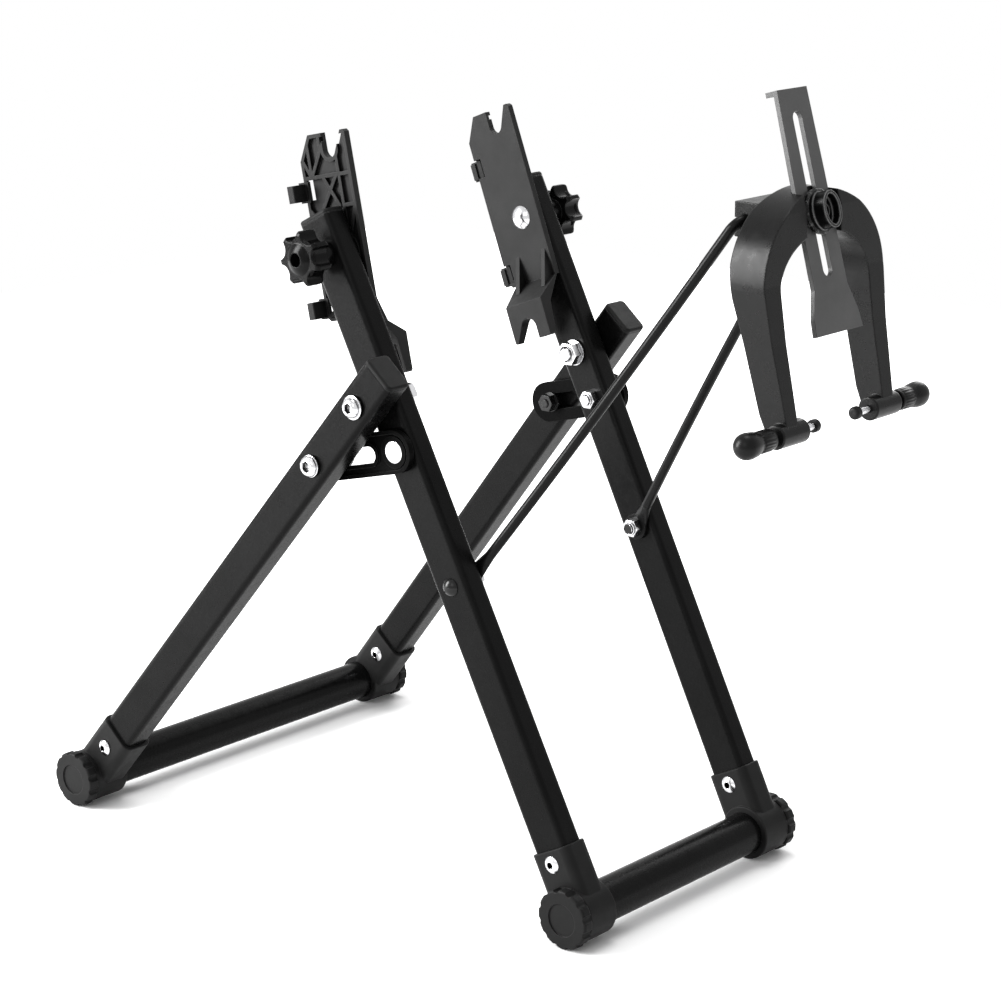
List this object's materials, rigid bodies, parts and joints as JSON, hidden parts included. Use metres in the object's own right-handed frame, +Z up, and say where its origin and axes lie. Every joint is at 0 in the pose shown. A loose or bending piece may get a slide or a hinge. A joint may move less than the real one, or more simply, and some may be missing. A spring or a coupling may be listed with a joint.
{
  "type": "bicycle wheel truing stand",
  "caption": "Folding bench stand that holds a bicycle wheel by its axle between two slotted brackets, with a hinged gauge arm whose fork carries side feeler screws and a height plate",
  "frame": {"origin": "centre of the footprint box on the floor", "axes": "X along the wheel axle, +Y to the rear frame, -Y to the gauge arm, +Z up"},
  "size_m": [0.2896, 0.5007, 0.4792],
  "materials": {
    "powder_coat": "satin black powder coat",
    "moulding": "fine textured moulded nylon",
    "gloss": "glossy moulded knob",
    "zinc": "bright zinc plating",
    "plate_steel": "satin dark grey plate",
    "rod_black": "satin black rod",
    "tip": "soft feeler tip",
    "black_oxide": "black oxide steel"
  },
  "bodies": {
    "front_frame": {"front_leg_right": "powder_coat", "front_leg_left": "powder_coat", "front_tee_right": "moulding", "front_tee_left": "moulding", "front_foot_cap_right": "moulding", "front_foot_cap_left": "moulding", "front_leg_plug_right": "moulding", "front_leg_plug_left": "moulding", "front_rivet_right": "zinc", "front_rivet_left": "zinc", "pivot_bolt_right": "zinc", "pivot_bolt_left": "zinc", "pivot_nut_right": "zinc", "pivot_nut_left": "zinc", "pivot_spacer_right": "black_oxide", "pivot_spacer_left": "black_oxide", "link_bolt_right": "zinc", "link_bolt_left": "zinc", "arm_bolt_right": "black_oxide", "arm_bolt_left": "black_oxide", "arm_nut_right": "zinc", "arm_nut_left": "zinc", "front_cross_tube": "powder_coat"},
    "rear_frame": {"rear_leg_right": "powder_coat", "rear_leg_left": "powder_coat", "rear_tee_right": "moulding", "rear_tee_left": "moulding", "rear_foot_cap_right": "moulding", "rear_foot_cap_left": "moulding", "rear_leg_plug_right": "moulding", "rear_leg_plug_left": "moulding", "rear_rivet_right": "zinc", "rear_rivet_left": "zinc", "stop_bolt_right": "zinc", "stop_bolt_left": "zinc", "stop_nut_right": "zinc", "stop_nut_left": "zinc", "rear_cross_tube": "powder_coat"},
    "right_link": {"stay_link_right": "moulding"},
    "left_link": {"stay_link_left": "moulding"},
    "right_bracket": {"dropout_bracket_right": "moulding", "clamp_bolt_right": "zinc"},
    "left_bracket": {"dropout_bracket_left": "moulding", "clamp_bolt_left": "zinc"},
    "right_knob": {"star_knob_right": "gloss"},
    "left_knob": {"star_knob_left": "gloss"},
    "arm": {"gauge_arm": "rod_black"},
    "head": {"gauge_yoke": "moulding", "gauge_clamp_bolt": "black_oxide"},
    "plate": {"gauge_plate": "plate_steel"},
    "plate_knob": {"gauge_knob": "gloss"},
    "right_tip": {"lateral_tip_right": "tip"},
    "left_tip": {"lateral_tip_left": "tip"},
    "right_screw": {"lateral_screw_right": "zinc", "lateral_knob_right": "gloss"},
    "left_screw": {"lateral_screw_left": "zinc", "lateral_knob_left": "gloss"}
  },
  "joints": [
    {"name": "frame_fold", "type": "hinge", "parent": "front_frame", "child": "rear_frame", "pos_m": [0, 0.0055, 0.2931], "axis": [1, 0, 0], "range_deg": [-45, 0]},
    {"name": "right_link_turn", "type": "hinge", "parent": "front_frame", "child": "right_link", "pos_m": [0.0939, -0.00859, 0.26605], "axis": [1, 0, 0], "range_deg": [-50, 0]},
    {"name": "right_bracket_tilt", "type": "hinge", "parent": "front_frame", "child": "right_bracket", "pos_m": [0.074, 0.0468, 0.37239], "axis": [1, 0, 0], "range_deg": [-20, 180]},
    {"name": "right_knob_spin", "type": "hinge", "parent": "right_bracket", "child": "right_knob", "pos_m": [0.11, 0.0468, 0.37239], "axis": [1, 0, 0], "continuous": true},
    {"name": "left_link_turn", "type": "hinge", "parent": "front_frame", "child": "left_link", "pos_m": [-0.0939, -0.00859, 0.26605], "axis": [1, 0, 0], "range_deg": [-50, 0]},
    {"name": "left_bracket_tilt", "type": "hinge", "parent": "front_frame", "child": "left_bracket", "pos_m": [-0.074, 0.0468, 0.37239], "axis": [1, 0, 0], "range_deg": [-28, 171]},
    {"name": "left_knob_spin", "type": "hinge", "parent": "left_bracket", "child": "left_knob", "pos_m": [-0.11, 0.0468, 0.37239], "axis": [1, 0, 0], "continuous": true},
    {"name": "arm_swing", "type": "hinge", "parent": "front_frame", "child": "arm", "pos_m": [0, -0.04694, 0.19244], "axis": [1, 0, 0], "range_deg": [-40, 60]},
    {"name": "head_tilt", "type": "hinge", "parent": "arm", "child": "head", "pos_m": [0, -0.19666, 0.4111], "axis": [1, 0, 0], "range_deg": [-45, 25]},
    {"name": "plate_slide", "type": "slide", "parent": "head", "child": "plate", "axis": [0, 0.2756, 0.9613], "range_m": [-0.041, 0.026]},
    {"name": "plate_knob_spin", "type": "hinge", "parent": "head", "child": "plate_knob", "pos_m": [0, -0.22346, 0.415], "axis": [0, -0.9613, 0.2756], "continuous": true},
    {"name": "right_tip_slide", "type": "slide", "parent": "head", "child": "right_tip", "axis": [1, 0, 0], "range_m": [-0.0035, 0.005]},
    {"name": "right_screw_spin", "type": "hinge", "parent": "right_tip", "child": "right_screw", "pos_m": [0.05, -0.24246, 0.306], "axis": [1, 0, 0], "range_deg": [-1810, 2590]},
    {"name": "left_tip_slide", "type": "slide", "parent": "head", "child": "left_tip", "axis": [1, 0, 0], "range_m": [-0.005, 0.0035]},
    {"name": "left_screw_spin", "type": "hinge", "parent": "left_tip", "child": "left_screw", "pos_m": [-0.05, -0.24246, 0.306], "axis": [1, 0, 0], "range_deg": [-2590, 1810]}
  ],
  "couplings": [
    {"joint": "right_link_turn", "follows": "frame_fold", "ratio": 1.11},
    {"joint": "left_link_turn", "follows": "frame_fold", "ratio": 1.11},
    {"joint": "right_screw_spin", "follows": "right_tip_slide", "rad_per_m": 8976},
    {"joint": "left_screw_spin", "follows": "left_tip_slide", "rad_per_m": 8976}
  ]
}
